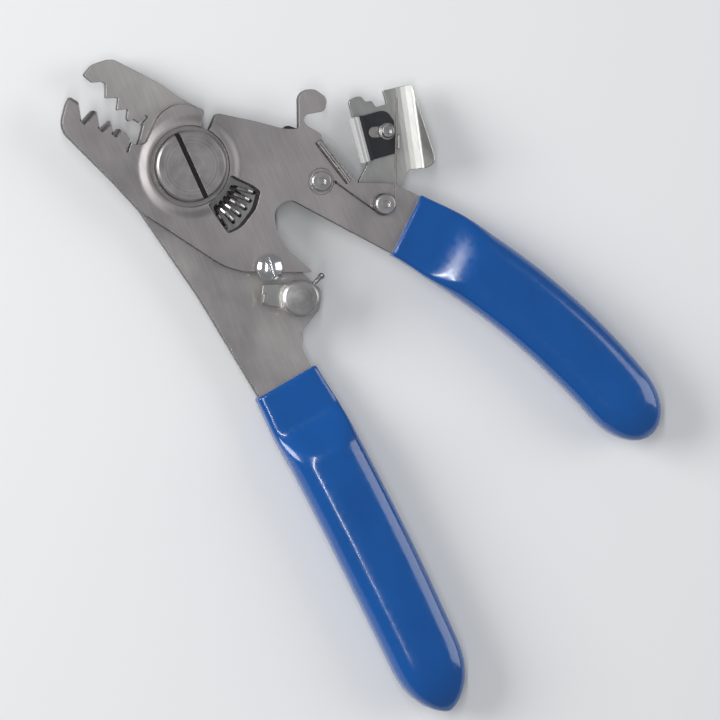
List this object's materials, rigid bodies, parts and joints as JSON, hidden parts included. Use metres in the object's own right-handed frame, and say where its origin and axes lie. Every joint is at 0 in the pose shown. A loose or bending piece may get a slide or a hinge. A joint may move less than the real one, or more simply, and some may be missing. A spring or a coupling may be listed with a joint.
{
  "type": "fibre stripper",
  "caption": "Plier-type fibre stripper with toothed jaws, a screw pivot with a return spring, a turning latch and a sprung wiping clamp on one handle.",
  "frame": {"origin": "on the pivot axis, at the rear face of the pivot nut, in the plane the tool lies on", "axes": "+Z out of the front face along the pivot axis, +Y from the pivot towards the jaws, along the tool's length"},
  "size_m": [0.1028, 0.1718, 0.0126],
  "materials": {
    "arm_steel": "satin stamped",
    "turned_steel": "lathe turned",
    "bright_steel": "polished",
    "spring_steel": "drawn wire",
    "lever_steel": "satin sheet",
    "dark_steel": "dark oxide",
    "pad_felt": "pressed felt",
    "grip_vinyl": "dipped vinyl, glossy"
  },
  "bodies": {
    "back_handle": {"back_arm": "arm_steel", "pivot_screw": "turned_steel", "pivot_washer": "bright_steel", "pivot_nut": "turned_steel", "lower_grip": "grip_vinyl", "return_spring": "spring_steel"},
    "latch": {"latch_post": "turned_steel", "latch_cap": "turned_steel", "latch_thumb_pin": "turned_steel", "latch_finger": "arm_steel", "latch_clip": "dark_steel"},
    "front_handle": {"front_arm": "arm_steel", "upper_grip": "grip_vinyl", "tongue_stud": "bright_steel", "anvil_pin": "spring_steel", "backing_plate": "dark_steel", "backing_spacer": "bright_steel", "backing_screw": "turned_steel", "backing_nut": "turned_steel", "lever_screw": "turned_steel", "lever_nut": "turned_steel", "lever_spring": "spring_steel"},
    "wiping_clamp": {"clamp_lever": "lever_steel", "pad_bracket": "dark_steel", "wiping_pad_1": "pad_felt", "wiping_pad_2": "pad_felt", "wiping_pad_3": "pad_felt", "wiping_pad_4": "pad_felt", "pad_screw": "turned_steel", "pad_washer": "turned_steel", "pad_nut": "turned_steel"}
  },
  "joints": [
    {"name": "arm_pivot", "type": "hinge", "parent": "back_handle", "child": "front_handle", "pos_m": [0, 0, 0], "axis": [0, 0, 1], "range_deg": [-16.5, 0], "stiffness_Nm_per_rad": 0.4, "springref_deg": 17.19, "deforming": ["return_spring"]},
    {"name": "latch_turn", "type": "hinge", "parent": "back_handle", "child": "latch", "pos_m": [0.0104, -0.0386, 0], "axis": [0, 0, 1], "range_deg": [0, 60]},
    {"name": "lever_pivot", "type": "hinge", "parent": "front_handle", "child": "wiping_clamp", "pos_m": [0.0381, -0.0274, 0], "axis": [0, 0, 1], "range_deg": [0, 20], "stiffness_Nm_per_rad": 0.02, "springref_deg": -28.65, "deforming": ["lever_spring"]}
  ]
}
